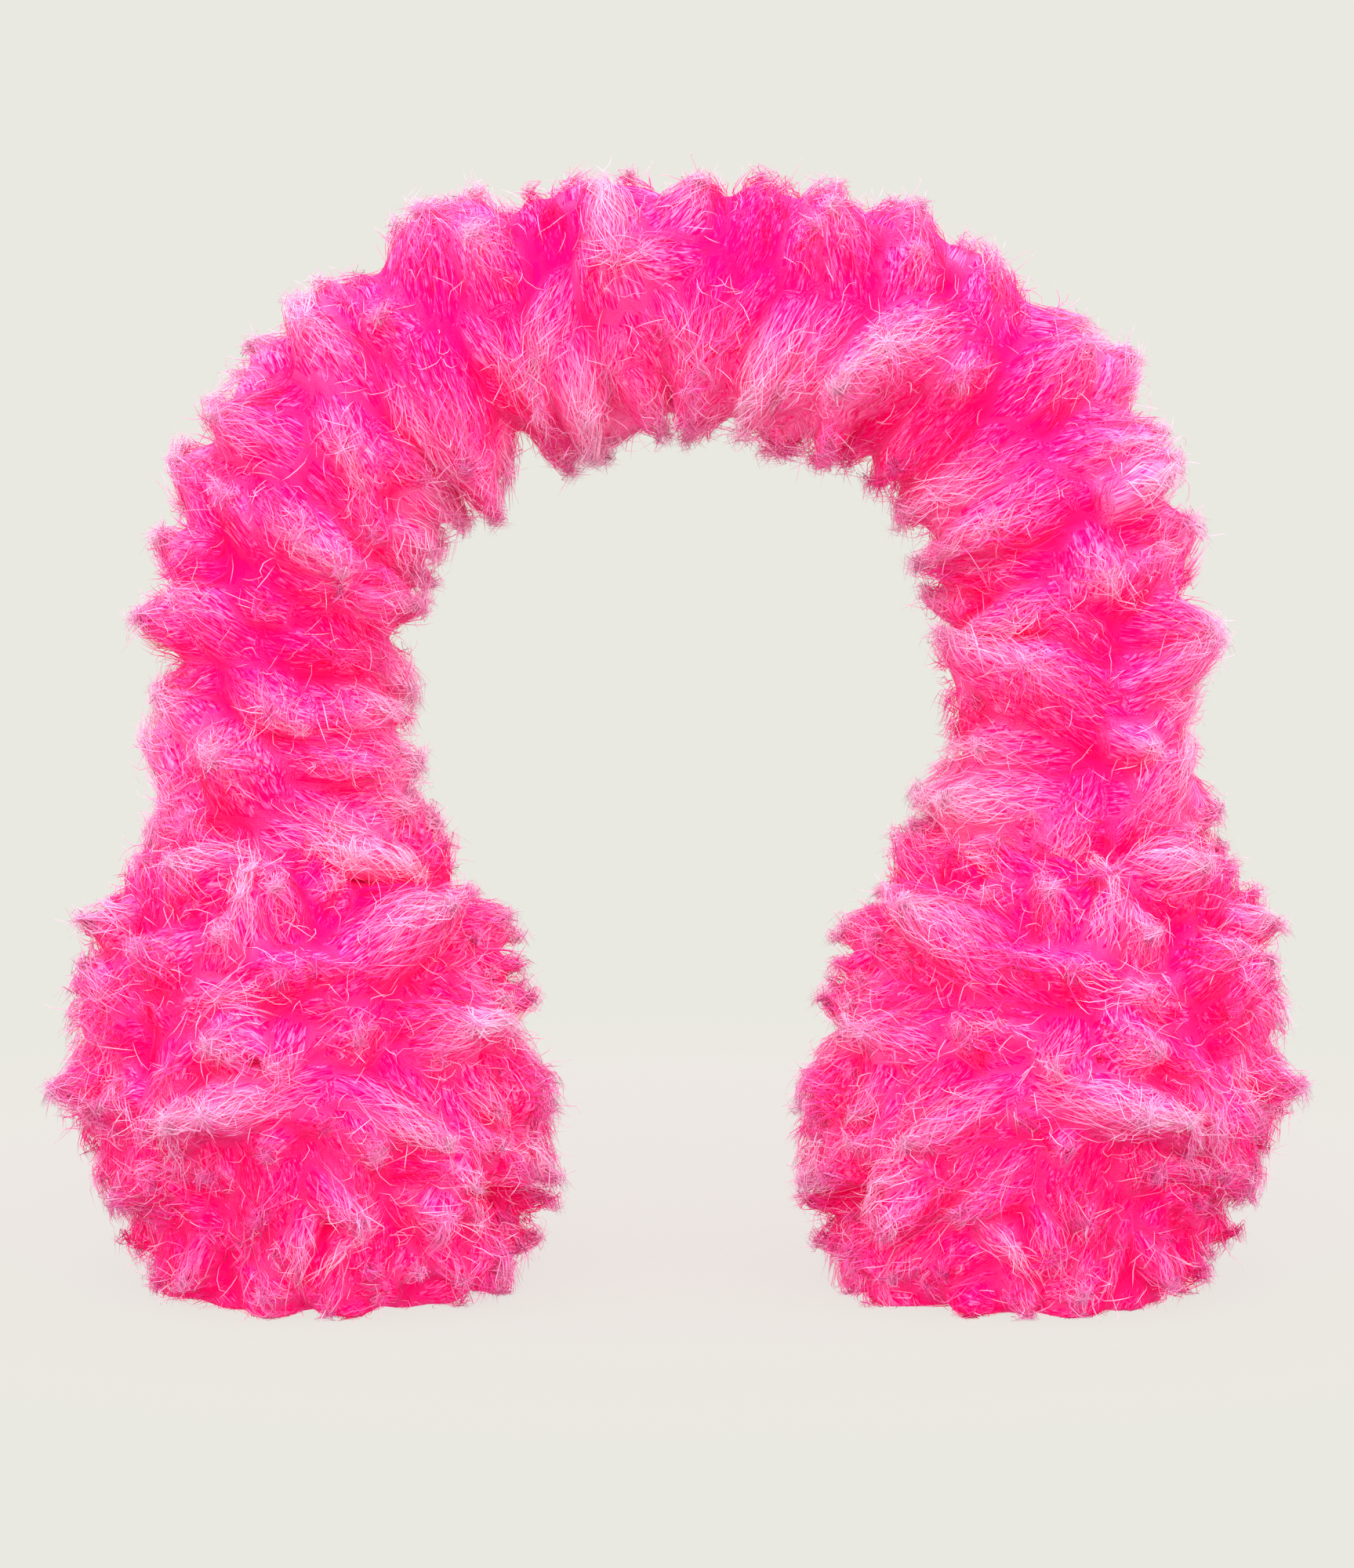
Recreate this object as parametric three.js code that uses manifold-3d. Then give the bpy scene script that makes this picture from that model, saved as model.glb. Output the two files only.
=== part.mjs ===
// Fur earmuffs: a sprung headband in a long-pile fur sleeve, with a round fur ear pad at each end.
// Millimetres, +Z up. X runs across the head, and the front faces -Y.
// The origin is on the floor that the two pads stand on, midway between them.
// Each solid is the outer form of its fur, combed into locks that stand out from it as rounded humps.
import * as THREE from "three";
import { mergeVertices } from "three/addons/utils/BufferGeometryUtils.js";
import Module from "manifold-3d";

const wasm = await Module();
wasm.setup();

const furGap = 0.3; // between the headband's fur and a pad's fur

const band = {
  halfSpan: 86, // from the middle to the centreline of a leg
  rise: 83.5, // from the top of the straight legs to the top of the centreline
  springHeight: 133, // where the straight legs turn into the arch
  footHeight: 84, // where the legs end, inside the pads' tops
  squareness: 2.25, // 2 is an ellipse, and more fills out the arch's shoulders
  furRadius: 24.4, // of the sleeve between the locks
  steps: 78,
  sides: 24,
  lockHeight: 6.6,
  lockPitch: 17.5,
  locksAround: 8,
};

// One pad, from the floor up: how far the middle of each section lies from the middle of the
// earmuffs, the section's half width across the head, and its half depth from front to back.
const padSections = [
  { height: 0, offset: 74.0, halfWidth: 33.0, halfDepth: 34.0 },
  { height: 4, offset: 74.2, halfWidth: 34.0, halfDepth: 35.5 },
  { height: 12, offset: 75.0, halfWidth: 37.5, halfDepth: 39.0 },
  { height: 24, offset: 77.0, halfWidth: 43.5, halfDepth: 44.5 },
  { height: 38, offset: 79.0, halfWidth: 47.0, halfDepth: 47.0 },
  { height: 52, offset: 80.5, halfWidth: 47.0, halfDepth: 47.5 },
  { height: 66, offset: 82.0, halfWidth: 44.5, halfDepth: 45.5 },
  { height: 80, offset: 83.5, halfWidth: 40.5, halfDepth: 41.5 },
  { height: 92, offset: 84.5, halfWidth: 35.5, halfDepth: 36.0 },
  { height: 100, offset: 85.5, halfWidth: 27.0, halfDepth: 27.5 },
  { height: 105, offset: 86.0, halfWidth: 16.0, halfDepth: 16.0 },
];
const pad = {
  topHeight: 107,
  middleHeight: 48, // where the locks spread out from
  rings: 26,
  segments: 50,
  lockHeight: 7.4,
  lockCount: 92,
  lockReach: 0.24, // half the width of a lock, in radians as seen from the pad's middle
  leastDroop: 0.3, // the share of its height that a drooping lock keeps near the floor
};

const furColour = 0xfa57a0;
const furRoughness = 0.9;

// A repeatable number from 0 to 1 for a lock, so that no two locks are quite alike.
function scatter(index, salt) {
  const wave = Math.sin(index * 12.9898 + salt * 78.233) * 43758.5453;
  return wave - Math.floor(wave);
}

// How far the fur stands out at a spot. Each lock is a blunt point that falls to nothing at its reach.
function furRise(locks, distanceTo) {
  let rise = 0;
  for (const lock of locks) {
    const share = distanceTo(lock) / lock.reach;
    if (share < 1) rise = Math.max(rise, lock.height * Math.pow(1 - share, 0.7));
  }
  return rise;
}

// The headband's centreline: up the left leg, over the arch, and down the right leg.
class BandLine extends THREE.Curve {
  constructor() {
    super();
    this.leg = band.springHeight - band.footHeight;
    this.arch = (Math.PI * (band.halfSpan + band.rise)) / 2;
    this.total = 2 * this.leg + this.arch;
  }

  getPoint(t, target = new THREE.Vector3()) {
    const along = t * this.total;
    if (along < this.leg) return target.set(-band.halfSpan, 0, band.footHeight + along);
    if (along > this.total - this.leg) {
      return target.set(band.halfSpan, 0, band.footHeight + this.total - along);
    }
    const turn = ((along - this.leg) / this.arch) * Math.PI;
    const across = Math.abs(Math.cos(turn));
    const up = Math.abs(Math.sin(turn));
    const reach = Math.pow(
      Math.pow(across / band.halfSpan, band.squareness) + Math.pow(up / band.rise, band.squareness),
      -1 / band.squareness,
    );
    return target.set(-Math.cos(turn) * reach, 0, band.springHeight + up * reach);
  }
}

// Where the headband's locks stand: how far along the centreline, and at what angle round it.
function bandLocks(length) {
  const rows = Math.round(length / band.lockPitch);
  const locks = [];
  for (let row = 0; row <= rows; row += 1) {
    for (let place = 0; place < band.locksAround; place += 1) {
      const index = row * band.locksAround + place;
      const stagger = (row % 2) / 2;
      locks.push({
        along: (row + 0.5 * (scatter(index, 1) - 0.5)) * band.lockPitch,
        angle: ((place + stagger + 0.4 * (scatter(index, 2) - 0.5)) / band.locksAround) * 2 * Math.PI,
        height: band.lockHeight * (0.6 + 0.8 * scatter(index, 3)),
        reach: band.lockPitch * (0.6 + 0.2 * scatter(index, 4)),
      });
    }
  }
  return locks;
}

// A round sleeve swept along the centreline, its surface pushed out over each lock.
function bandGeometry() {
  const line = new BandLine();
  const section = new THREE.Shape();
  for (let side = 0; side < band.sides; side += 1) {
    const angle = (side / band.sides) * 2 * Math.PI;
    const x = band.furRadius * Math.cos(angle);
    const y = band.furRadius * Math.sin(angle);
    if (side === 0) section.moveTo(x, y);
    else section.lineTo(x, y);
  }
  section.closePath();
  const geometry = new THREE.ExtrudeGeometry(section, {
    steps: band.steps,
    extrudePath: line,
    bevelEnabled: false,
  });

  const length = line.getLength();
  const locks = bandLocks(length);
  const marks = line.getSpacedPoints(4 * band.steps);
  const spot = new THREE.Vector3();
  const out = new THREE.Vector3();
  const position = geometry.getAttribute("position");
  for (let i = 0; i < position.count; i += 1) {
    spot.fromBufferAttribute(position, i);
    let nearest = 0;
    marks.forEach((mark, m) => {
      if (mark.distanceToSquared(spot) < marks[nearest].distanceToSquared(spot)) nearest = m;
    });
    const middle = marks[nearest];
    const along = (nearest / (marks.length - 1)) * length;
    out.subVectors(spot, middle).normalize();
    const inward = new THREE.Vector3(-middle.x, 0, band.springHeight - middle.z).normalize();
    const angle = Math.atan2(out.y, out.dot(inward));
    const rise = furRise(locks, (lock) => {
      const turned = Math.atan2(Math.sin(angle - lock.angle), Math.cos(angle - lock.angle));
      return Math.hypot(along - lock.along, turned * band.furRadius);
    });
    spot.addScaledVector(out, rise);
    position.setXYZ(i, spot.x, spot.y, spot.z);
  }
  return geometry;
}

// A pad section's size at any height, between the rows of the table.
function padSectionAt(height) {
  const last = padSections.length - 1;
  let row = 0;
  while (row < last - 1 && height > padSections[row + 1].height) row += 1;
  const low = padSections[row];
  const high = padSections[row + 1];
  const share = Math.min(1, (height - low.height) / (high.height - low.height));
  const mix = (name) => low[name] + (high[name] - low[name]) * share;
  return { offset: mix("offset"), halfWidth: mix("halfWidth"), halfDepth: mix("halfDepth") };
}

// A right-hand pad, turned like a pot and pushed out over its locks. Grown makes it larger all round.
function padGeometry(grown = 0) {
  const profile = [new THREE.Vector2(0, 0)];
  for (let ring = 0; ring < pad.rings; ring += 1) {
    profile.push(new THREE.Vector2(1, (ring / pad.rings) * padSections.at(-1).height));
  }
  profile.push(new THREE.Vector2(1, padSections.at(-1).height));
  profile.push(new THREE.Vector2(0, pad.topHeight));
  const geometry = new THREE.LatheGeometry(profile, pad.segments);
  geometry.rotateX(Math.PI / 2);

  const locks = [];
  for (let i = 0; i < pad.lockCount; i += 1) {
    const up = 1 - (2 * (i + 0.5)) / pad.lockCount;
    const turn = i * Math.PI * (3 - Math.sqrt(5)) + 0.5 * (scatter(i, 5) - 0.5);
    const level = Math.sqrt(1 - up * up);
    locks.push({
      towards: new THREE.Vector3(level * Math.cos(turn), level * Math.sin(turn), up),
      height: pad.lockHeight * (0.6 + 0.8 * scatter(i, 6)),
      reach: pad.lockReach * (0.8 + 0.4 * scatter(i, 7)),
    });
  }

  const spot = new THREE.Vector3();
  const out = new THREE.Vector3();
  const position = geometry.getAttribute("position");
  for (let i = 0; i < position.count; i += 1) {
    spot.fromBufferAttribute(position, i);
    const turn = Math.atan2(spot.y, spot.x);
    const onAxis = Math.hypot(spot.x, spot.y) < 0.5;
    const section = padSectionAt(spot.z);
    const wide = onAxis ? 0 : section.halfWidth;
    const deep = onAxis ? 0 : section.halfDepth;
    out.set(wide * Math.cos(turn), deep * Math.sin(turn), spot.z - pad.middleHeight).normalize();
    const rise = grown + furRise(locks, (lock) => out.angleTo(lock.towards));
    const resting = spot.z < 0.01; // fur pressed flat on the floor
    position.setXYZ(
      i,
      section.offset + wide * Math.cos(turn) + (resting ? 0 : rise * out.x),
      deep * Math.sin(turn) + (resting ? 0 : rise * out.y),
      resting ? 0 : Math.max(pad.leastDroop * spot.z, spot.z + rise * out.z),
    );
  }
  return geometry;
}

// A three.js geometry as a solid that can be cut.
function solidOf(geometry) {
  const bare = geometry.clone();
  bare.deleteAttribute("normal");
  bare.deleteAttribute("uv");
  const merged = mergeVertices(bare, 1e-3);
  return new wasm.Manifold(
    new wasm.Mesh({
      numProp: 3,
      vertProperties: merged.getAttribute("position").array,
      triVerts: new Uint32Array(merged.index.array),
    }),
  );
}

// A cut solid as a three.js geometry again.
function geometryOf(solid) {
  const mesh = solid.getMesh();
  const geometry = new THREE.BufferGeometry();
  geometry.setAttribute("position", new THREE.BufferAttribute(mesh.vertProperties, 3));
  geometry.setIndex(new THREE.BufferAttribute(mesh.triVerts, 1));
  geometry.computeVertexNormals();
  return geometry;
}

function furMesh(name, geometry) {
  const material = new THREE.MeshStandardMaterial({
    name: "pink_fur",
    color: furColour,
    roughness: furRoughness,
    metalness: 0,
  });
  const mesh = new THREE.Mesh(geometry, material);
  mesh.name = name;
  return mesh;
}

// The sleeve's two ends are hollowed to sit over the pads' tops.
function headbandGeometry() {
  const socket = solidOf(padGeometry(furGap));
  const otherSocket = socket.mirror([1, 0, 0]);
  return geometryOf(solidOf(bandGeometry()).subtract(socket).subtract(otherSocket));
}

const earmuffs = new THREE.Group();
const rightPad = furMesh("ear_pad_right", padGeometry());
const leftPad = furMesh("ear_pad_left", padGeometry());
leftPad.scale.x = -1;
earmuffs.add(furMesh("headband", headbandGeometry()), rightPad, leftPad);

// The locks aren't the same in front as behind, so the fur's own middle is brought to the origin.
const extent = new THREE.Box3().setFromObject(earmuffs);
for (const mesh of earmuffs.children) mesh.position.y = -(extent.min.y + extent.max.y) / 2;

export default earmuffs;
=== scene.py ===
import math

import bpy
import numpy as np
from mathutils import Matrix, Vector
from mathutils.bvhtree import BVHTree


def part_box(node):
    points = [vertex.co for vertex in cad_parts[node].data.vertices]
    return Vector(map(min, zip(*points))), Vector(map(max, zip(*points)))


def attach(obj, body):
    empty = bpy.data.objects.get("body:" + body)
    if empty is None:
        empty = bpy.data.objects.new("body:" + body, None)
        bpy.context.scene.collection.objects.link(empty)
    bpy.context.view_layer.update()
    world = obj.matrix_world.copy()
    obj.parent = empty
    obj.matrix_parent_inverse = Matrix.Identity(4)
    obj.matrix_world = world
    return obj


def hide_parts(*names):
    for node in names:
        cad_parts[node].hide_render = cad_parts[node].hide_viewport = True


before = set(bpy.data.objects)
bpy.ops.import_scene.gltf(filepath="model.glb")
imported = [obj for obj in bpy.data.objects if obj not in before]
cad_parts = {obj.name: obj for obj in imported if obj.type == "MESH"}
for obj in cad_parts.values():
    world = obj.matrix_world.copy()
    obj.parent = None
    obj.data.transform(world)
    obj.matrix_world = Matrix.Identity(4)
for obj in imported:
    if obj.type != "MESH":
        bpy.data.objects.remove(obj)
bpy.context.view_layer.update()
scene = bpy.context.scene
scene.view_settings.view_transform = "Standard"
scene.cycles.diffuse_bounces = 8  # light goes deep between pale hairs
print("frame loaded")

# The camera looks at the middle of the earmuffs from just above level.
cameraLook = {
    "lens": 85.0,
    "sensor": 36.0,
    "elevation": 4.0,  # degrees above level
    "tall": 0.340,  # what the view takes in from top to bottom, at the earmuffs
    "aimHeight": 0.1100,
}


def addCamera(look):
    reach = look["tall"] * look["lens"] / look["sensor"]
    tilt = math.radians(look["elevation"])
    bpy.ops.object.camera_add(
        location=(0, -reach * math.cos(tilt), look["aimHeight"] + reach * math.sin(tilt)),
        rotation=(math.pi / 2 - tilt, 0, 0),
    )
    camera = bpy.context.active_object
    camera.data.lens = look["lens"]
    camera.data.sensor_width = look["sensor"]
    camera.data.clip_start = 0.01
    scene.camera = camera


addCamera(cameraLook)


# Helpers for rows of vectors, three numbers to a row.

def unit(v):
    return v / np.maximum(np.linalg.norm(v, axis=-1, keepdims=True), 1e-12)


def across(v, axis):
    return v - (v * axis).sum(-1, keepdims=True) * axis  # what of v is at right angles to axis


def turned(angle, first, second):
    return np.cos(angle)[..., None] * first + np.sin(angle)[..., None] * second


def linear(red, green, blue):
    c = np.array([red, green, blue]) / 255  # from 0 to 255 screen values
    return (*np.where(c <= 0.04045, c / 12.92, ((c + 0.055) / 1.055) ** 2.4), 1.0)


# Hairs: each is a closed spindle, pointed at either end.

hairSides = 3
mapEdge = 0.004  # half the width of a hair on its map


def hairMesh(name, paths, wide, thick, ups, tone, along):
    # for n hairs of k stations: paths and ups are (n, k, 3), wide, thick and along (n, k), and tone (n)
    n, k = paths.shape[:2]
    heading = unit(np.gradient(paths, axis=1))
    side = unit(np.cross(heading, ups))
    up = np.cross(side, heading)
    inner = slice(1, k - 1)
    m = np.arange(hairSides)
    turn = m / hairSides * 2 * math.pi
    ring = (
        paths[:, inner, None]
        + (wide[:, inner, None] * np.cos(turn))[..., None] * side[:, inner, None]
        + (thick[:, inner, None] * np.sin(turn))[..., None] * up[:, inner, None]
    )
    points = np.concatenate([ring.reshape(n, -1, 3), paths[:, :1], paths[:, -1:]], axis=1)
    points[..., 2] = aboveFloor(points[..., 2])
    each = points.shape[1]
    after = (m + 1) % hairSides
    first = np.arange(k - 3)[:, None] * hairSides
    last = (k - 3) * hairSides
    walls = np.stack([first + m, first + after, first + hairSides + after, first + hairSides + m], -1)
    roots = np.stack([after, m, np.full(hairSides, each - 2)], -1)
    tips = np.stack([last + m, last + after, np.full(hairSides, each - 1)], -1)
    start = (np.arange(n) * each)[:, None, None]
    faces = [(start + f[None]).reshape(-1, f.shape[1]) for f in (walls.reshape(-1, 4), roots, tips)]
    return meshOf(name, points.reshape(-1, 3), faces, hairMap(tone, along))


def hairMap(tone, along):
    # the tone runs across the map, and the place along the hair runs up it
    k = along.shape[1]
    m = np.arange(hairSides)
    middle = mapEdge + tone * (1 - 2 * mapEdge)
    share = m / hairSides
    left = middle[:, None] + mapEdge * (2 * share - 1)
    right = middle[:, None] + mapEdge * (2 * (share + 1 / hairSides) - 1)
    centre = (left + right) / 2
    station = np.repeat(np.arange(1, k - 2), hairSides)
    face = np.tile(m, k - 3)
    low, high = along[:, station], along[:, station + 1]
    walls = mapCorners(
        (left[:, face], low),
        (right[:, face], low),
        (right[:, face], high),
        (left[:, face], high),
    )
    low, high = (np.repeat(along[:, i : i + 1], hairSides, 1) for i in (0, 1))
    roots = mapCorners((right, high), (left, high), (centre, low))
    low, high = (np.repeat(along[:, i : i + 1], hairSides, 1) for i in (k - 2, k - 1))
    tips = mapCorners((left, low), (right, low), (centre, high))
    return walls, roots, tips


def mapCorners(*corners):
    return np.stack([np.stack(corner, -1) for corner in corners], 2)


def meshOf(name, points, faces, mapped):
    sides = np.concatenate([np.full(len(f), f.shape[1]) for f in faces])
    corners = np.concatenate([f.ravel() for f in faces])
    mesh = bpy.data.meshes.new(name)
    mesh.vertices.add(len(points))
    mesh.vertices.foreach_set("co", points.astype(np.float32).ravel())
    mesh.loops.add(len(corners))
    mesh.loops.foreach_set("vertex_index", corners.astype(np.int32))
    mesh.polygons.add(len(sides))
    mesh.polygons.foreach_set("loop_start", (np.cumsum(sides) - sides).astype(np.int32))
    mesh.update(calc_edges=True)
    mesh.polygons.foreach_set("use_smooth", np.ones(len(sides), bool))
    layer = mesh.uv_layers.new(name="OFBake")
    places = np.concatenate([part.reshape(-1, 2) for part in mapped])
    layer.uv.foreach_set("vector", places.astype(np.float32).ravel())
    piece = bpy.data.objects.new(name, mesh)
    scene.collection.objects.link(piece)
    return piece


# Tufts: each is a combed hump of the fur, with its root, the way it leans, and the point it runs to.

tuftLook = {
    "sizes": (0.65, 1.3),  # the least and the most, as a share of the usual tuft
    "lengths": (0.85, 1.2),
    "heights": (0.75, 1.2),
    "widths": (0.8, 1.12),
    "runOn": 1.05,  # the point that a tuft's hairs run to, as a share of its length and height
    "clearance": 0.6,  # the others this near a chosen tuft, as a share of its length, lie flatter
    "flattened": 0.5,
}


def layTufts(roots, normals, combs, look, rng):
    n = len(roots)
    pull = np.clip(np.linalg.norm(combs, axis=1, keepdims=True), 0, 1)
    comb = unit(across(combs, normals))
    size = rng.normal(1, look["sizeJitter"], (n, 1)).clip(*tuftLook["sizes"])
    length = size * look["length"] * rng.uniform(*tuftLook["lengths"], (n, 1))
    height = size * (look["standing"] * (1 - pull) + look["lying"] * pull)
    height = height * rng.uniform(*tuftLook["heights"], (n, 1))
    width = size * look["halfWidth"] * rng.uniform(*tuftLook["widths"], (n, 1))
    runOn = tuftLook["runOn"]
    return {
        "root": roots,
        "normal": normals,
        "comb": comb,
        "side": np.cross(normals, comb),
        "pull": pull,
        "reach": length * pull,
        "height": height,
        "width": width,
        "tip": roots + comb * length * pull * runOn + normals * height * runOn,
        "tone": np.clip(rng.normal(0.5, look["toneJitter"], n), 0, 1),
    }


# The columns of the chosen tufts' tables. Width is the whole width of a tuft, and heading is the way it
# points as seen from the front, in degrees, with 0 outwards and 90 up.
chosenColumns = ("across", "up", "heading", "length", "width", "tone")


def addChosenTufts(tufts, skin, rows, hand, look):
    # the tufts that stand out in front, one to a row
    tree = BVHTree.FromObject(skin, bpy.context.evaluated_depsgraph_get())
    others = tufts["root"].copy()
    inFront, backwards = -0.2, Vector((0, 1, 0))
    for row in rows:
        chosen = dict(zip(chosenColumns, row))
        start = Vector((hand * chosen["across"], inFront, chosen["up"]))
        hit, normal, _, _ = tree.ray_cast(start, backwards)
        if hit is None:
            continue
        hit, normal = np.array(hit), np.array(normal)
        angle = math.radians(chosen["heading"])
        comb = unit(across(np.array([hand * math.cos(angle), 0, math.sin(angle)]), normal))
        height = chosen["width"] * look["chosenRise"]
        gap = np.linalg.norm(others - hit - comb * chosen["length"] / 2, axis=1)
        under = gap < tuftLook["clearance"] * chosen["length"]
        tufts["height"][: len(others)][under] *= tuftLook["flattened"]
        found = {
            "root": hit,
            "normal": normal,
            "comb": comb,
            "side": np.cross(normal, comb),
            "pull": [1.0],
            "reach": [chosen["length"]],
            "height": [height],
            "width": [chosen["width"] / 2],
            "tip": hit + comb * chosen["length"] * tuftLook["runOn"] + normal * height,
        }
        for part, value in found.items():
            tufts[part] = np.vstack([tufts[part], np.array(value)[None]])
        tufts["tone"] = np.append(tufts["tone"], chosen["tone"])
    return tufts


sculptLook = {
    "longer": (0.62, 0.9),  # half a tuft's length on the skin, as shares of its reach and its half width
    "depth": 0.02,  # skin farther than this from a tuft's root plane isn't moved
    "facing": 0.1,  # nor is skin that faces away from it
    "swell": 0.5,  # how much higher a combed tuft is at its end than at its root
    "sharper": 0.2,  # how much less rounded a standing tuft is
    "falloff": 0.8,  # less makes a tuft's sides steeper
    "evening": 5,  # rounds of evening out the tufts' lean
    "settling": 2,  # rounds of smoothing at the end
    "paintedPaler": (0.7, 0.85, 0.35),  # painted highlight: what height adds to a tuft's paleness, its limit, and what its end adds
    "steepness": 0.3,  # the share of a tuft's height below which its end counts for less
    # painted shade and highlight: how much the skin's height turns it from deep pink low between the tufts
    # to pale on top
    "paintedByHeight": 0.75,
    "tuftTone": 0.3,
    "patternStep": 7.3,  # keeps one tuft's fibres unlike the next one's
}


def sculptTufts(skin, tufts, look):
    # pushes the skin out into the tufts, and notes for every vertex its tuft, how high it stands
    # and where it is on the tuft
    mesh = skin.data
    co, facing = (np.empty(len(mesh.vertices) * 3, np.float32) for _ in range(2))
    mesh.vertices.foreach_get("co", co)
    mesh.vertices.foreach_get("normal", facing)
    co, facing = co.reshape(-1, 3).astype(float), facing.reshape(-1, 3).astype(float)
    best = np.zeros(len(co))
    owner = np.zeros(len(co), int)
    forward = np.zeros(len(co))
    flow = np.zeros((len(co), 3))
    millimetres = 1000
    ofReach, ofWidth = sculptLook["longer"]
    for i in range(len(tufts["root"])):
        d = co - tufts["root"][i]
        a, b, c = d @ tufts["comb"][i], d @ tufts["side"][i], d @ tufts["normal"][i]
        reach, width, pull = tufts["reach"][i, 0], tufts["width"][i, 0], tufts["pull"][i, 0]
        halfLong = ofReach * reach + width * ofWidth
        a = (a - 0.5 * reach) / halfLong
        narrowed = width * (1 - look["taper"] * pull * np.clip(a, 0, 1))
        round2 = a * a + (b / narrowed) ** 2
        facesIt = facing @ tufts["normal"][i] > sculptLook["facing"]
        near = (round2 < 1) & (np.abs(c) < sculptLook["depth"]) & facesIt
        skew = 1 + sculptLook["swell"] * pull * a
        power = look["roundness"] - sculptLook["sharper"] * (1 - pull)
        dome = np.clip(1 - round2 ** power, 0, 1) ** sculptLook["falloff"]
        hump = tufts["height"][i, 0] * skew * dome
        better = near & (hump > best)
        best[better] = hump[better]
        forward[better] = np.clip(0.5 + 0.5 * a[better], 0, 1)
        owner[better] = i
        step = np.full(better.sum(), i * sculptLook["patternStep"])
        flow[better] = np.stack([b[better] * millimetres, a[better] * halfLong * millimetres, step], -1)
    lean = tufts["comb"][owner] * tufts["pull"][owner] * look["overhang"] * best[:, None]
    co = co + facing * best[:, None] + evenedOut(mesh, lean, sculptLook["evening"])
    co[:, 2] = aboveFloor(co[:, 2])
    mesh.vertices.foreach_set("co", co.astype(np.float32).ravel())
    mesh.update()
    settle = skin.modifiers.new("settle", "SMOOTH")
    settle.factor = 0.5
    settle.iterations = sculptLook["settling"]
    bpy.ops.object.modifier_apply(modifier="settle")
    mesh = skin.data
    # painted shade and highlight: skin low between the tufts is coloured deep pink, and skin high on a tuft
    # or near its end paler; the tuft's own tone, which differs at random, is added
    steep = np.clip(best / (sculptLook["steepness"] * tufts["height"][owner, 0]), 0, 1)
    share = best / (look["standing"] * 0.5 + look["lying"] * 0.5)
    fromHeight, atMost, fromEnd = sculptLook["paintedPaler"]
    high = np.minimum(fromHeight * share, atMost) + fromEnd * forward * steep
    paintedLightAndTone = high * sculptLook["paintedByHeight"] + sculptLook["tuftTone"] * (tufts["tone"][owner] - 0.5)
    attribute = mesh.attributes.new("furRun", "FLOAT_VECTOR", "POINT")
    attribute.data.foreach_set("vector", flow.astype(np.float32).ravel())
    attribute = mesh.attributes.new("furPaintedLightAndTone", "FLOAT", "POINT")
    attribute.data.foreach_set("value", paintedLightAndTone.astype(np.float32))
    return owner, high


def evenedOut(mesh, values, rounds):
    # each vertex's value is averaged with its neighbours', so that tufts don't fold through one another
    ends = np.empty(len(mesh.edges) * 2, np.int32)
    mesh.edges.foreach_get("vertices", ends)
    one, other = ends.reshape(-1, 2).T
    count = 1 + np.bincount(ends, minlength=len(values))[:, None]
    for _ in range(rounds):
        total = values.copy()
        np.add.at(total, one, values[other])
        np.add.at(total, other, values[one])
        values = total / count
    return values


def aboveFloor(z):
    lowest = 0.0016  # below this the fur is pressed together, and nothing goes through the floor
    return np.where(z < lowest, lowest * np.exp(np.minimum(0, (z - lowest) / lowest)), z)


hairLook = {
    "stations": 4,  # points along a hair
    "length": (0.0080, 0.0145),
    "lift": (0.0002, 0.0034),  # how far a hair's end stands off the skin
    "liftFrom": 0.1,  # the share of that at its root
    "astray": 0.24,
    "wave": 0.0009,
    "halfWidth": (0.00009, 0.00017),
    "along": (0, 0.3, 0.7, 1),  # places along a hair
    "taper": (0.8, 1, 0.75, 0.2),  # and the share of its width that it has there
    "flatness": 0.6,
    "betweenTufts": 0.35,  # how thick the hairs grow between the tufts
    "onward": 0.35,  # how much a hair keeps its tuft's own way, and doesn't just make for its tip
    "standing": 1.1,  # how much that way stands up on a tuft that isn't combed
    "upwards": 0.4,  # the same, in telling whether a hair is past the tip
    "nearTip": 0.004,  # nearer than this, a hair makes for the tip less and less
    "offSkin": 0.12,
    "free": (0.35, 0.5),  # how far hairs leave the skin at their roots, and what that grows by
    "turning": 0.3,  # how slowly a hair takes up a new way out from the skin
    "toneJitter": 0.2,
    "paintedPaler": (0.02, 0.62, 0.34),  # painted highlight: paleness to start with, from the tuft's height, and along the hair
    "paintedUnderShade": (0.22, 0.1),  # painted shade: hairs on skin that faces down stay deep pink
}
strayLook = {
    "stations": 5,
    "wild": 0.55,
    "follow": (0.2, 1.2),  # how much a stray hair keeps to its tuft's way
    "offSkin": 0.2,
    "bend": (-190, 190),
    "length": (0.005, 0.011),
    "halfWidth": (0.00007, 0.00011),
    "along": (0, 0.3, 0.7, 1),
    "taper": (0.8, 1, 0.8, 0.25),
    "crimp": 0.35,
    "crimps": (0.6, 1.6),
    "twist": 0.35,
    "tone": (0.62, 0.2),  # its middle and its spread
    "paintedPaler": (0.45, 0.5),  # painted highlight: paleness at the root, and what the tip adds
}


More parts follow.
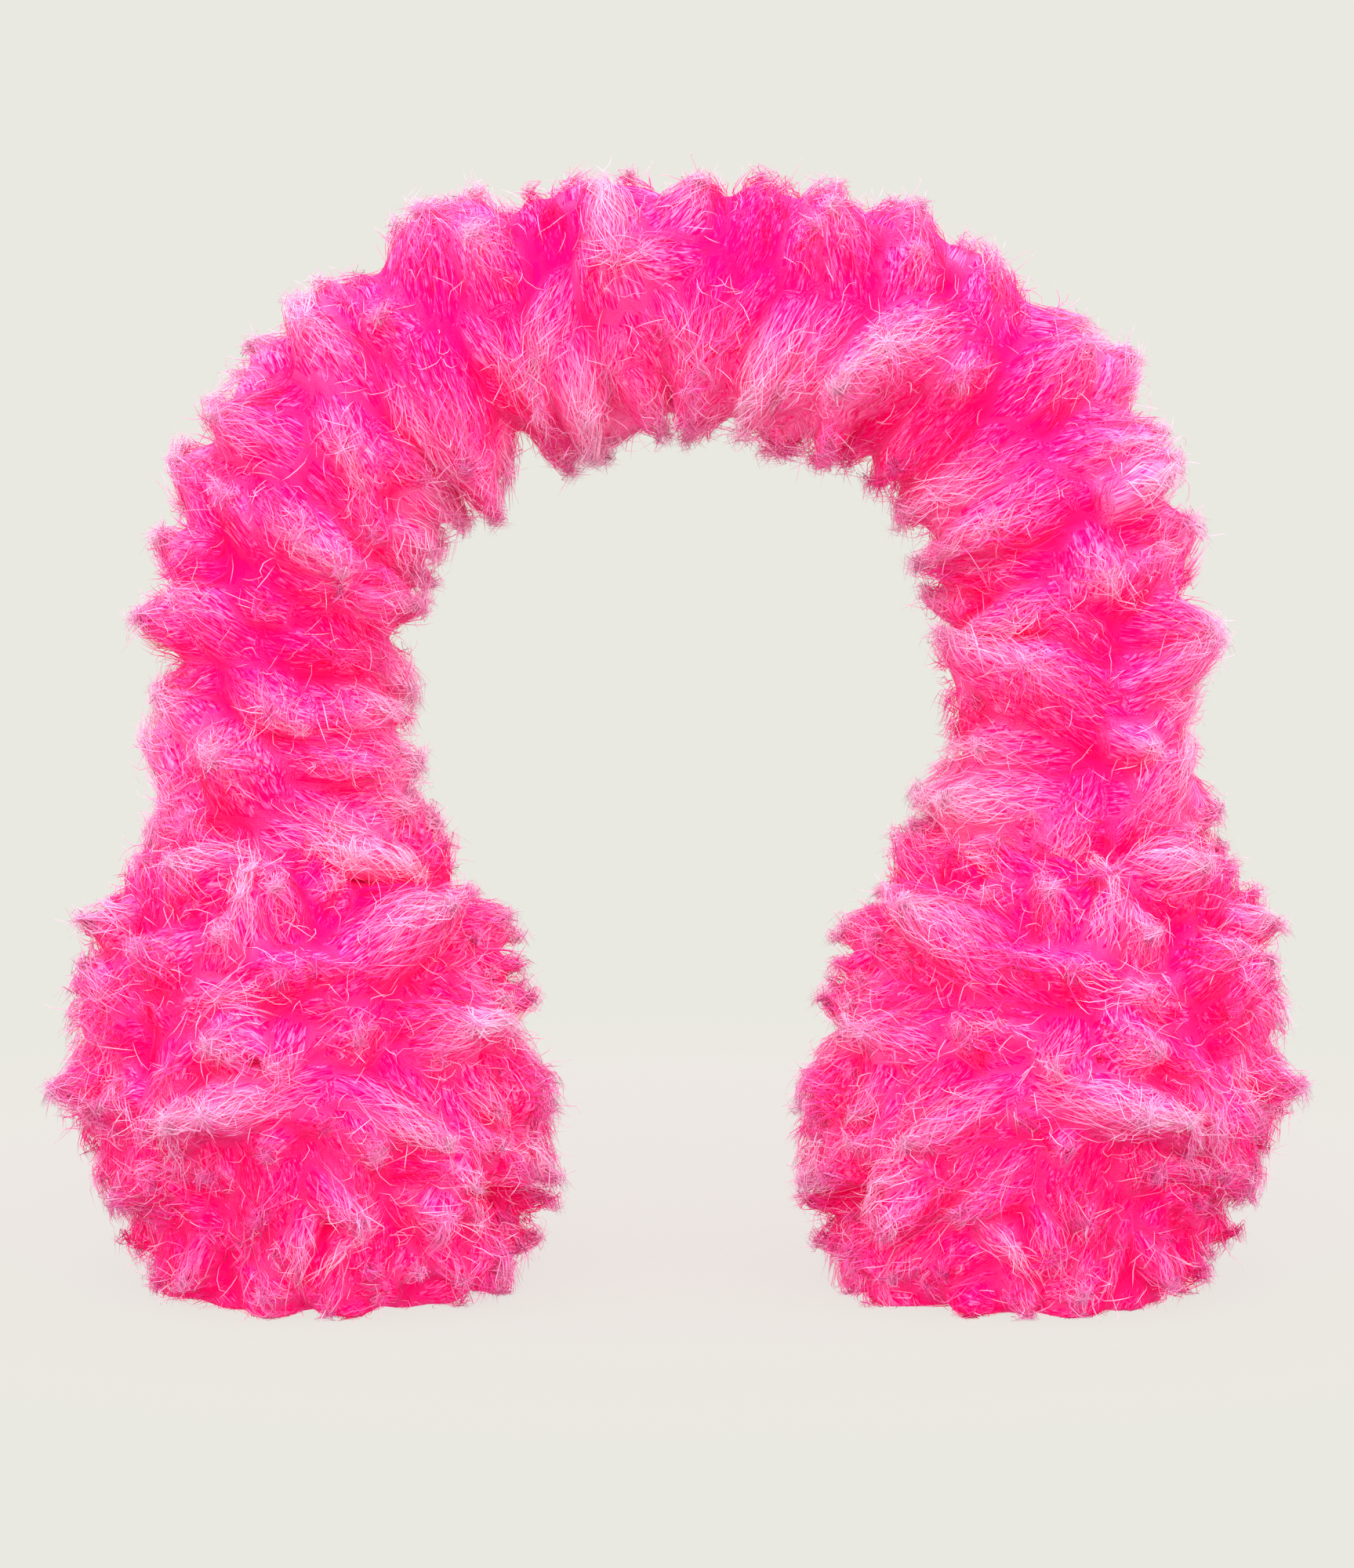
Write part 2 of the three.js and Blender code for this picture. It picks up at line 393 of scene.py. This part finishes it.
def rootOnSkin(skin, high, count, rng):
    # scattered places on the skin, closest together on the tufts
    mesh = skin.data
    mesh.calc_loop_triangles()
    tris = np.empty(len(mesh.loop_triangles) * 3, np.int32)
    mesh.loop_triangles.foreach_get("vertices", tris)
    co = np.empty(len(mesh.vertices) * 3, np.float32)
    mesh.vertices.foreach_get("co", co)
    tris, co = tris.reshape(-1, 3), co.reshape(-1, 3).astype(float)
    a, b, c = co[tris[:, 0]], co[tris[:, 1]], co[tris[:, 2]]
    thickness = hairLook["betweenTufts"] + np.clip(high[tris[:, 0]], 0, 1)
    area = np.linalg.norm(np.cross(b - a, c - a), axis=1) * thickness
    pick = rng.choice(len(tris), count, p=area / area.sum())
    u, v = rng.uniform(0, 1, (2, count, 1))
    over = u + v > 1
    u, v = np.where(over, 1 - u, u), np.where(over, 1 - v, v)
    places = a[pick] * (1 - u - v) + b[pick] * u + c[pick] * v
    return places, unit(np.cross(b - a, c - a)[pick]), tris[pick, 0]


def hairWidths(look, grid, count, rng):
    widest = rng.uniform(*look["halfWidth"], count)[:, None]
    return widest * np.interp(grid, look["along"], look["taper"])


def lyingHairs(skin, tufts, owner, high, count, look, rng):
    # hairs that lie along the tufts and run on past their ends
    tree = BVHTree.FromObject(skin, bpy.context.evaluated_depsgraph_get())
    spot, facing, vertex = rootOnSkin(skin, high, count, rng)
    out = facing
    tuft = owner[vertex]
    tip, comb, normal = tufts["tip"][tuft], tufts["comb"][tuft], tufts["normal"][tuft]
    pull = tufts["pull"][tuft]
    k = look["stations"]
    length = rng.uniform(*look["length"], count)[:, None]
    bias = rng.normal(0, look["astray"], (count, 1))
    lifts = rng.uniform(*look["lift"], (count, 1)) * np.linspace(look["liftFrom"], 1, k)
    wave = rng.normal(0, look["wave"], (count, k))
    onward = comb * pull + normal * (look["standing"] - pull)
    paths = np.empty((count, k, 3))
    outs = np.empty((count, k, 3))
    for station in range(k):
        paths[:, station] = spot + out * lifts[:, station : station + 1]
        outs[:, station] = out
        if station == k - 1:
            break
        ahead = tip - spot
        far = np.linalg.norm(ahead, axis=1, keepdims=True)
        past = (ahead * (comb * pull + normal * look["upwards"])).sum(-1, keepdims=True) < 0
        towards = ahead / np.maximum(far, look["nearTip"]) + look["onward"] * onward
        run = np.where(past, onward, towards)
        run = unit(across(run, out) + look["offSkin"] * run)
        level = np.cross(out, run)
        run = unit(run + bias * level)
        target = spot + run * length / (k - 1) + wave[:, station : station + 1] * level
        nextSpot, nextOut = np.empty_like(spot), np.empty_like(out)
        for i, place in enumerate(target):
            nextSpot[i], nextOut[i], _, _ = tree.find_nearest(place)
        atRoot, growing = look["free"]
        free = atRoot + growing * station / (k - 1)
        spot = nextSpot * (1 - free) + target * free
        out = unit(nextOut + look["turning"] * out)
    grid = np.linspace(0, 1, k)
    wide = hairWidths(look, grid, count, rng)
    tone = np.clip(tufts["tone"][tuft] + rng.normal(0, look["toneJitter"], count), 0, 1)
    # painted shade and highlight: hairs on skin that faces down are coloured deeper pink, and hairs high on
    # a tuft and towards their tips paler
    shade, level = look["paintedUnderShade"]
    paintedUnderShade = shade * np.clip(level - facing[:, 2:], 0, 1)
    least, byHeight, paintedTipPaler = look["paintedPaler"]
    along = np.clip(least + byHeight * high[vertex][:, None] + paintedTipPaler * grid - paintedUnderShade, 0.01, 0.99)
    return paths, wide, wide * look["flatness"], outs, tone, along


def strayHairs(skin, tufts, owner, high, count, look, rng):
    # hairs that have worked loose, and curl over the others or out into the air
    start, out, vertex = rootOnSkin(skin, high, count, rng)
    run = unit(tufts["tip"][owner[vertex]] - start)
    wild = run * rng.uniform(*look["follow"], (count, 1)) + rng.normal(0, look["wild"], (count, 3))
    heading = unit(wild + look["offSkin"] * out)
    axis = unit(across(rng.normal(0, 1, (count, 3)), heading))
    third = np.cross(axis, heading)
    grid = np.linspace(0, 1, look["stations"])
    bend = np.radians(rng.uniform(*look["bend"], (count, 1)))
    crimps = 2 * math.pi * grid * rng.uniform(*look["crimps"], (count, 1))
    crimp = look["crimp"] * np.sin(crimps + rng.uniform(0, 6, (count, 1)))
    step = turned(bend * grid + crimp, heading[:, None], third[:, None])
    twist = rng.normal(0, look["twist"], (count, 1)) * grid
    step = unit(step + twist[..., None] * axis[:, None])
    step = step * (rng.uniform(*look["length"], count) / (look["stations"] - 1))[:, None, None]
    paths = start[:, None] + np.cumsum(step, axis=1) - step
    wide = hairWidths(look, grid, count, rng)
    ups = np.broadcast_to(axis[:, None], paths.shape)
    tone = np.clip(rng.normal(*look["tone"], count), 0, 1)
    # painted highlight: stray hairs grow paler towards their tips
    atRoot, added = look["paintedPaler"]
    along = np.broadcast_to(atRoot + added * grid, paths.shape[:2])
    return paths, wide, wide, ups, tone, along


# Ear pads

padLook = {
    "voxel": 0.0020,
    "smoothing": 60,  # rounds, which take the outer form's locks away
    "inset": 0.0100,  # from the fur's outer form in to where the tufts start
    "easing": 12,  # rounds of smoothing after that
    "footHeight": 0.03,  # below this the fur is pressed and the skin is drawn in less
    "footShare": 0.2,  # of the inset, at the floor
    "tufts": 400,
    "middle": 0.45,  # where the tufts spread out from, as a share of the pad's height
    "scatter": (0.35, 0.12),  # how far the tufts stray from an even spread, up and round
    "parting": (0.100, 0.063),  # across and up, where the combing spreads from
    "partingSize": 0.012,
    "sway": 0.3,
    "swayPitch": (90, 70),  # radians to a metre, up and across
    "wander": 0.25,
    "wanderNear": (1.5, 0.02),  # how much more the combing wanders at the parting, and within what distance
    "droop": 0.12,
    "length": 0.0125,
    "halfWidth": 0.0062,
    "standing": 0.0168,
    "lying": 0.0076,
    "overhang": 0.8,
    "taper": 0.6,
    "roundness": 0.65,  # of the tufts: 0.5 is a cone and 1 a dome
    "chosenRise": 0.62,  # a chosen tuft's height for its width
    "levels": (0, 0.01, 0.03, 0.06, 0.075),  # above the floor, and the share of its height a tuft has there
    "levelRises": (0.7, 0.65, 1, 1, 0.6),
    "bandSpot": (0.019, 0.08),  # radius and height above which the headband's foot covers the pad
    "covered": 0.001,  # height of the tufts there
    "seed": 23,
    "sizeJitter": 0.2,
    "toneJitter": 0.22,
    "hairs": 19500,
    "strays": 2600,
}


def padSkin(node, look):
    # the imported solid, evenly meshed, its locks smoothed away, and drawn in to where the tufts start
    skin = bpy.data.objects.new(node + "_fur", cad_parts[node].data.copy())
    scene.collection.objects.link(skin)
    bpy.ops.object.select_all(action="DESELECT")
    bpy.context.view_layer.objects.active = skin
    skin.select_set(True)
    bpy.ops.object.mode_set(mode="EDIT")
    bpy.ops.mesh.select_all(action="SELECT")
    bpy.ops.mesh.remove_doubles(threshold=0.00001)
    bpy.ops.object.mode_set(mode="OBJECT")
    remesh = skin.modifiers.new("even", "REMESH")
    remesh.mode = "VOXEL"
    remesh.voxel_size = look["voxel"]
    smooth = skin.modifiers.new("smooth", "SMOOTH")
    smooth.factor = 0.9
    smooth.iterations = look["smoothing"]
    for name in ("even", "smooth"):
        bpy.ops.object.modifier_apply(modifier=name)
    group = skin.vertex_groups.new(name="drawnIn")
    for vertex in skin.data.vertices:
        drawn = min(1.0, look["footShare"] + vertex.co.z / look["footHeight"])
        group.add([vertex.index], drawn, "REPLACE")
    inset = skin.modifiers.new("inset", "DISPLACE")
    inset.strength = -look["inset"]
    inset.mid_level = 0.0
    inset.vertex_group = "drawnIn"
    ease = skin.modifiers.new("ease", "SMOOTH")
    ease.factor = 0.6
    ease.iterations = look["easing"]
    for name in ("inset", "ease"):
        bpy.ops.object.modifier_apply(modifier=name)
    skin.vertex_groups.clear()
    return skin


def rootsOn(skin, origins, directions):
    # where rays from inside come out through the skin, and which way it faces there
    tree = BVHTree.FromObject(skin, bpy.context.evaluated_depsgraph_get())
    places, facing = [], []
    for origin, towards in zip(origins, directions):
        hit, normal, _, _ = tree.ray_cast(Vector(origin), Vector(towards))
        places.append(hit)
        facing.append(normal if normal.dot(Vector(towards)) > 0 else -normal)
    return np.array(places), np.array(facing)


# Seen from the front, with across measured away from the middle of the earmuffs.
padChosen = (
    (0.0757, 0.0512, 346, 0.022, 0.0150, 1.00),
    (0.0740, 0.0512, 207, 0.028, 0.0120, 0.95),
    (0.0510, 0.0570, 218, 0.019, 0.0110, 0.80),
    (0.0780, 0.0600, 167, 0.011, 0.0070, 1.00),
    (0.0900, 0.0730, 92, 0.013, 0.0130, 0.85),
    (0.0730, 0.0710, 147, 0.028, 0.0170, 0.65),
    (0.0875, 0.0350, 347, 0.024, 0.0095, 0.90),
    (0.1080, 0.0480, 343, 0.017, 0.0090, 0.90),
    (0.0770, 0.0280, 275, 0.012, 0.0080, 0.95),
    (0.0630, 0.0265, 309, 0.012, 0.0090, 1.00),
    (0.0970, 0.0197, 295, 0.014, 0.0080, 1.00),
    (0.0545, 0.0180, 230, 0.013, 0.0090, 0.85),
    (0.0500, 0.0405, 196, 0.016, 0.0110, 0.85),
    (0.0520, 0.0270, 215, 0.012, 0.0090, 0.95),
    (0.0400, 0.0560, 185, 0.016, 0.0100, 0.75),
    (0.0860, 0.0160, 262, 0.013, 0.0080, 1.00),
    (0.0700, 0.0140, 285, 0.012, 0.0080, 0.90),
    (0.1120, 0.0620, 27, 0.019, 0.0120, 0.75),
    (0.1156, 0.0316, 12, 0.016, 0.0100, 0.75),
    (0.1050, 0.0197, 350, 0.018, 0.0100, 0.70),
)


def padTufts(node, skin, look, rng):
    low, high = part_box(node)
    hand = 1 if low.x + high.x > 0 else -1
    middle = np.array([(low.x + high.x) / 2, 0, look["middle"] * (high.z - low.z)])
    n = look["tufts"]
    goldenAngle = math.pi * (3 - math.sqrt(5))
    upScatter, roundScatter = look["scatter"]
    up = 1 - 2 * (np.arange(n) + 0.5) / n + rng.normal(0, upScatter / math.sqrt(n), n)
    up = np.clip(up, -1, 1)
    turn = np.arange(n) * goldenAngle + rng.normal(0, roundScatter, n)
    level = np.sqrt(1 - up * up)
    towards = np.stack([-hand * level * np.cos(turn), level * np.sin(turn), up], -1)
    roots, normals = rootsOn(skin, np.repeat(middle[None], n, 0), towards)
    parting = np.array([hand * look["parting"][0], 0, look["parting"][1]])
    away = (roots - parting) * (1, 0, 1)
    distance = np.linalg.norm(away, axis=1, keepdims=True)
    combs = away / (distance + look["partingSize"])
    byHeight, byWidth = look["swayPitch"]
    sway = np.sin(roots[:, 2] * byHeight)[:, None] * (0, 0, 1)
    sway = sway + np.sin(roots[:, 0] * byWidth)[:, None] * (hand, 0, 0)
    more, within = look["wanderNear"]
    noise = rng.normal(0, look["wander"], roots.shape) * (1 + more * np.exp(-distance / within))
    combs = combs + look["sway"] * sway + noise * (-hand, 1, 1) + (0, 0, -look["droop"])
    combs = across(combs, normals)
    tufts = layTufts(roots, normals, combs, look, rng)
    tufts["height"] *= np.interp(roots[:, 2:], look["levels"], look["levelRises"])
    radius, least = look["bandSpot"]
    spot = np.hypot(roots[:, 0] - hand * bandLook["halfSpan"], roots[:, 1]) < radius
    tufts["height"][spot & (roots[:, 2] > least)] = look["covered"]
    return addChosenTufts(tufts, skin, padChosen, hand, look)


# Headband

bandLook = {
    "halfSpan": 0.086,  # from the middle to the centreline of a leg
    "rise": 0.0835,  # of the arch above the straight legs
    "springHeight": 0.133,
    "footHeight": 0.084,
    "squareness": 2.25,  # 2 is an ellipse, and more fills out the arch's shoulders
    "skinRadius": 0.0162,
    "rings": 220,
    "ends": (0.025, 0.975),  # shares of the centreline's length, just inside the pads' fur
    "rows": 36,
    "around": 10,
    "tuftEnds": (0.04, 0.96),
    "scatter": (0.2, 0.15),  # how far the tufts stray from their rows, along and round
    "seam": 70.0,  # degrees round from the crown side, where the fur parts in front and behind
    "seamWidth": 0.15,
    "legs": (0.14, 0.03),  # the height where the legs' combing starts, and what it takes to come in
    "astray": (0.3, 0.3),  # how far the combing strays lengthways, and how much more on the legs
    "wander": 0.15,
    "droop": 0.35,  # on the legs
    "crown": (0.02, 0.07),  # the crown's own tufts go over into the arch's between these distances
    "crownRises": (-0.4, 0.25),  # what that changes in their height above the seam and below it
    "length": 0.0145,
    "halfWidth": 0.0075,
    "standing": 0.0112,
    "lying": 0.0068,
    "overhang": 0.8,
    "taper": 0.35,
    "roundness": 0.85,
    "chosenRise": 0.4,
    "seed": 11,
    "sizeJitter": 0.2,
    "toneJitter": 0.22,
    "hairs": 23500,
    "strays": 3600,
}


def bandLine(share):
    # a point of the headband's centreline, and the way out from the head there
    halfSpan, rise, spring = (bandLook[k] for k in ("halfSpan", "rise", "springHeight"))
    leg = spring - bandLook["footHeight"]
    arch = math.pi * (halfSpan + rise) / 2
    total = 2 * leg + arch
    far = share * total
    turn = np.clip((far - leg) / arch, 0, 1) * math.pi
    c, s = np.cos(turn), np.sin(turn)
    power = bandLook["squareness"]
    reach = ((np.abs(c) / halfSpan) ** power + (s / rise) ** power) ** (-1 / power)
    x, z = -c * reach, spring + s * reach
    z = z - np.maximum(leg - far, 0) - np.maximum(far - total + leg, 0)
    return np.stack([x, 0 * s, z], -1), unit(np.stack([-c, 0 * s, s], -1))


def bandSkin(look):
    points, _ = bandLine(np.linspace(*look["ends"], look["rings"]))
    curve = bpy.data.curves.new("headband_fur", "CURVE")
    curve.dimensions = "3D"
    curve.bevel_depth = look["skinRadius"]
    curve.bevel_resolution = 30
    curve.use_fill_caps = True
    spline = curve.splines.new("POLY")
    spline.points.add(len(points) - 1)
    for spot, point in zip(spline.points, points):
        spot.co = (*point, 1)
    skin = bpy.data.objects.new("headband_fur", curve)
    scene.collection.objects.link(skin)
    bpy.ops.object.select_all(action="DESELECT")
    bpy.context.view_layer.objects.active = skin
    skin.select_set(True)
    bpy.ops.object.convert(target="MESH")
    return bpy.context.active_object


# Here across is positive to the right, and a heading of 0 is to the right too.
bandChosen = (
    (-0.0085, 0.2080, 322, 0.020, 0.0110, 1.00),
    (-0.0170, 0.1950, 224, 0.028, 0.0190, 0.70),
    (-0.0110, 0.2150, 104, 0.007, 0.0200, 0.65),
    (-0.0690, 0.1960, 125, 0.014, 0.0170, 0.75),
    (-0.0780, 0.1800, 155, 0.022, 0.0170, 0.60),
    (-0.0520, 0.1850, 245, 0.019, 0.0150, 0.90),
    (0.0740, 0.1930, 40, 0.015, 0.0180, 0.60),
    (-0.0980, 0.1180, 150, 0.016, 0.0170, 0.95),
    (0.0980, 0.1180, 30, 0.016, 0.0170, 0.85),
)


def bandTufts(skin, look, rng):
    rows, around = look["rows"], look["around"]
    row, place = (a.ravel() for a in np.meshgrid(np.arange(rows), np.arange(around), indexing="ij"))
    n = len(row)
    alongScatter, roundScatter = look["scatter"]
    share = np.clip((row + 0.5 + rng.normal(0, alongScatter, n)) / rows, *look["tuftEnds"])
    angle = (place + 0.5 * (row % 2) + rng.normal(0, roundScatter, n)) / around * 2 * math.pi
    centre, out = bandLine(share)
    front = np.array([0, -1.0, 0])
    normals = turned(angle, out, front)
    roots = centre + look["skinRadius"] * normals
    away = np.abs((angle + math.pi) % (2 * math.pi) - math.pi)
    outer = np.tanh((math.radians(look["seam"]) - away) / look["seamWidth"])[:, None]
    lengthways = np.cross(front, out)
    legTop, blend = look["legs"]
    legs = np.clip((legTop - centre[:, 2]) / blend, 0, 1)[:, None]
    usual, added = look["astray"]
    astray = rng.normal(0, 1, (n, 1)) * (usual + added * legs)
    combs = out * outer + astray * lengthways + rng.normal(0, look["wander"], roots.shape)
    combs = across(combs + legs * (0, 0, -look["droop"]), normals)
    tufts = layTufts(roots, normals, combs, look, rng)
    crown = np.interp(np.abs(centre[:, :1]), look["crown"], [1, 0])
    tufts["height"] *= 1 + crown * np.where(outer > 0, *look["crownRises"])
    return addChosenTufts(tufts, skin, bandChosen, 1, look)


# Fur finish

furLook = {
    "hairColours": (  # from the roots to the palest tips, the deep pink standing for painted shade low in the fur and the pale for painted highlight at the tips
        linear(255, 0, 114),
        linear(255, 66, 168),
        linear(255, 144, 206),
        linear(255, 198, 230),
    ),
    "skinColours": (  # painted shade, deep pink between the tufts, to painted highlight, paler on top
        linear(255, 0, 106),
        linear(255, 46, 144),
        linear(255, 104, 174),
        linear(255, 138, 190),
    ),
    "stops": (0.15, 0.42, 0.66, 0.92),
    "byTone": 0.5,  # how much paler a pale tuft's hairs are
    "paintedTipPaler": 1.05,  # and a hair's tip, as a painted highlight
    "start": -0.22,
    "fibreScale": (2.4, 0.4, 1.0),  # to a millimetre across a tuft, along it, and from tuft to tuft
    "fibreDetail": 4.0,
    "fibreDistortion": 1.4,
    "fibreRange": (0.35, 0.65),
    "fibreContrast": 0.45,
    "bumpStrength": 0.4,
    "bumpDistance": 0.0006,
    "roughness": 0.9,
    "sheen": 0.04,
    "sheenRoughness": 0.4,
    "sheenTint": (1.0, 0.6, 0.8, 1.0),
    "specular": 0.05,
    "glow": linear(255, 0, 110),  # painted glow: the fur gives off a little deep pink light of its own, standing in for light that comes through the hairs from behind
    "glowStrength": 0.04,
}


def furRamp(nodes, look, colours):
    ramp = nodes.new("ShaderNodeValToRGB")
    stops = ramp.color_ramp.elements
    first, *between, last = look["stops"]
    stops[0].position, stops[1].position = first, last
    for position in between:
        stops.new(position)
    for stop, colour in zip(stops, colours):
        stop.color = colour
    return ramp


def furMaterial(name, look):
    material = bpy.data.materials.new(name)
    material.use_nodes = True
    shader = material.node_tree.nodes["Principled BSDF"]
    shader.inputs["Roughness"].default_value = look["roughness"]
    shader.inputs["Sheen Weight"].default_value = look["sheen"]
    shader.inputs["Sheen Roughness"].default_value = look["sheenRoughness"]
    shader.inputs["Sheen Tint"].default_value = look["sheenTint"]
    shader.inputs["Specular IOR Level"].default_value = look["specular"]
    # painted glow: every fur surface gives off faint deep pink light, so shaded fur stays pink
    shader.inputs["Emission Color"].default_value = look["glow"]
    shader.inputs["Emission Strength"].default_value = look["glowStrength"]
    return material, material.node_tree.nodes, material.node_tree.links, shader


def hairMaterial(look):
    # paler with the tuft's tone, and paler towards the hair's tip as a painted highlight
    material, nodes, links, shader = furMaterial("furHair", look)
    place = nodes.new("ShaderNodeUVMap")
    place.uv_map = "OFBake"
    apart = nodes.new("ShaderNodeSeparateXYZ")
    links.new(place.outputs["UV"], apart.inputs[0])
    ramp = furRamp(nodes, look, look["hairColours"])
    blend = nodes.new("ShaderNodeMath")
    blend.operation = "MULTIPLY_ADD"
    blend.inputs[1].default_value = look["byTone"]
    links.new(apart.outputs["X"], blend.inputs[0])
    reach = nodes.new("ShaderNodeMath")
    reach.operation = "MULTIPLY_ADD"
    reach.inputs[1].default_value = look["paintedTipPaler"]
    reach.inputs[2].default_value = look["start"]
    links.new(apart.outputs["Y"], reach.inputs[0])
    links.new(reach.outputs[0], blend.inputs[2])
    links.new(blend.outputs[0], ramp.inputs["Fac"])
    links.new(ramp.outputs["Color"], shader.inputs["Base Color"])
    return material


def skinMaterial(look):
    # matted fibres that run along each tuft, with painted shade, deep pink between the tufts, and a painted
    # highlight, paler on top
    material, nodes, links, shader = furMaterial("furUnder", look)
    run = nodes.new("ShaderNodeAttribute")
    run.attribute_name = "furRun"
    height = nodes.new("ShaderNodeAttribute")
    height.attribute_name = "furPaintedLightAndTone"
    stretch = nodes.new("ShaderNodeMapping")
    stretch.inputs["Scale"].default_value = look["fibreScale"]
    links.new(run.outputs["Vector"], stretch.inputs["Vector"])
    fibre = nodes.new("ShaderNodeTexNoise")
    fibre.inputs["Scale"].default_value = 1.0
    fibre.inputs["Detail"].default_value = look["fibreDetail"]
    fibre.inputs["Distortion"].default_value = look["fibreDistortion"]
    links.new(stretch.outputs[0], fibre.inputs["Vector"])
    sharp = nodes.new("ShaderNodeMapRange")
    sharp.inputs["From Min"].default_value = look["fibreRange"][0]
    sharp.inputs["From Max"].default_value = look["fibreRange"][1]
    sharp.inputs["To Min"].default_value = -look["fibreContrast"]
    sharp.inputs["To Max"].default_value = look["fibreContrast"]
    links.new(fibre.outputs["Fac"], sharp.inputs["Value"])
    add = nodes.new("ShaderNodeMath")
    add.operation = "ADD"
    links.new(height.outputs["Fac"], add.inputs[0])
    links.new(sharp.outputs[0], add.inputs[1])
    ramp = furRamp(nodes, look, look["skinColours"])
    links.new(add.outputs[0], ramp.inputs["Fac"])
    links.new(ramp.outputs["Color"], shader.inputs["Base Color"])
    bump = nodes.new("ShaderNodeBump")
    bump.inputs["Strength"].default_value = look["bumpStrength"]
    bump.inputs["Distance"].default_value = look["bumpDistance"]
    links.new(fibre.outputs["Fac"], bump.inputs["Height"])
    links.new(bump.outputs[0], shader.inputs["Normal"])
    return material


bodyFur = skinMaterial(furLook)
hairFur = hairMaterial(furLook)
print("fur materials made")


def dress(piece, node, material):
    piece.data.materials.clear()
    piece.data.materials.append(material)
    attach(piece, "root")
    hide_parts(node)


def finishSkin(skin, node):
    for face in skin.data.polygons:
        face.use_smooth = True
    dress(skin, node, bodyFur)


mostInPile = 15000  # hairs, so that no piece nears 200,000 triangles


def growFur(node, skin, tufts, look, rng):
    owner, high = sculptTufts(skin, tufts, look)
    finishSkin(skin, node)
    piles = math.ceil(look["hairs"] / mostInPile)
    for pile in range(piles):
        hairs = lyingHairs(skin, tufts, owner, high, look["hairs"] // piles, hairLook, rng)
        dress(hairMesh(f"{node}_pile_{pile + 1}", *hairs), node, hairFur)
    strays = strayHairs(skin, tufts, owner, high, look["strays"], strayLook, rng)
    dress(hairMesh(node + "_stray_hairs", *strays), node, hairFur)
    print(node, "furred,", len(skin.data.polygons), "skin faces")


skin = bandSkin(bandLook)
rng = np.random.default_rng(bandLook["seed"])
growFur("headband", skin, bandTufts(skin, bandLook, rng), bandLook, rng)
for node in ("ear_pad_left", "ear_pad_right"):
    skin = padSkin(node, padLook)
    rng = np.random.default_rng(padLook["seed"])
    growFur(node, skin, padTufts(node, skin, padLook, rng), padLook, rng)


# Floor, backdrop and light

stageLook = {
    "backdrop": linear(233, 233, 225),
    "floorPaint": (0.05, 0.044, 0.042, 1.0),
    "floorPaintedBounce": linear(239, 234, 230),  # painted light: the glow of the floor close to the earmuffs, a little paler and pinker than the backdrop, standing in for pink light thrown back from the fur
    "floorGlow": 0.87,
    "floorRadius": 4.0,
    "fadeCentre": (0, 0.15, 0),
    "fade": (0.1, 0.36),  # the floor goes over into the backdrop between these distances
    "skyStrength": 1.45,
    "sunStrength": 2.9,
    "sunAngle": 80.0,  # degrees across, as soft as a large window
    "sunTilt": 36.0,  # degrees from straight above, towards the front
}


def addFloor(look):
    bpy.ops.mesh.primitive_circle_add(
        vertices=96,
        radius=look["floorRadius"],
        fill_type="NGON",
        location=(0, 0, 0),
    )
    floor = bpy.context.active_object
    floor.name = "floor"
    material = bpy.data.materials.new("paleFloor")
    material.use_nodes = True
    nodes, links = material.node_tree.nodes, material.node_tree.links
    nodes.clear()
    out = nodes.new("ShaderNodeOutputMaterial")
    mix = nodes.new("ShaderNodeMixShader")
    both = nodes.new("ShaderNodeAddShader")
    matt = nodes.new("ShaderNodeBsdfDiffuse")
    matt.inputs["Color"].default_value = look["floorPaint"]
    # painted light: near the earmuffs the floor glows pale pink and keeps their shadows faint
    near = nodes.new("ShaderNodeEmission")
    near.inputs["Color"].default_value = look["floorPaintedBounce"]
    near.inputs["Strength"].default_value = look["floorGlow"]
    glow = nodes.new("ShaderNodeEmission")
    glow.inputs["Color"].default_value = look["backdrop"]
    place = nodes.new("ShaderNodeTexCoord")
    far = nodes.new("ShaderNodeVectorMath")
    far.operation = "DISTANCE"
    far.inputs[1].default_value = look["fadeCentre"]
    fade = nodes.new("ShaderNodeMapRange")
    fade.interpolation_type = "SMOOTHSTEP"
    fade.inputs["From Min"].default_value = look["fade"][0]
    fade.inputs["From Max"].default_value = look["fade"][1]
    links.new(place.outputs["Object"], far.inputs[0])
    links.new(far.outputs["Value"], fade.inputs["Value"])
    links.new(fade.outputs[0], mix.inputs[0])
    links.new(matt.outputs[0], both.inputs[0])
    links.new(near.outputs[0], both.inputs[1])
    links.new(both.outputs[0], mix.inputs[1])
    links.new(glow.outputs[0], mix.inputs[2])
    links.new(mix.outputs[0], out.inputs["Surface"])
    floor.data.materials.append(material)


def addLight(look):
    world = bpy.data.worlds.new("studio")
    scene.world = world
    world.use_nodes = True
    nodes, links = world.node_tree.nodes, world.node_tree.links
    sky = nodes["Background"]
    sky.inputs["Color"].default_value = (1, 1, 1, 1)
    sky.inputs["Strength"].default_value = look["skyStrength"]
    seen = nodes.new("ShaderNodeBackground")
    seen.inputs["Color"].default_value = look["backdrop"]
    path = nodes.new("ShaderNodeLightPath")
    mix = nodes.new("ShaderNodeMixShader")
    links.new(path.outputs["Is Camera Ray"], mix.inputs[0])
    links.new(sky.outputs[0], mix.inputs[1])
    links.new(seen.outputs[0], mix.inputs[2])
    links.new(mix.outputs[0], nodes["World Output"].inputs["Surface"])
    bpy.ops.object.light_add(type="SUN", rotation=(math.radians(look["sunTilt"]), 0, 0))
    sun = bpy.context.active_object
    sun.data.energy = look["sunStrength"]
    sun.data.angle = math.radians(look["sunAngle"])


addFloor(stageLook)
addLight(stageLook)
print("stage set")
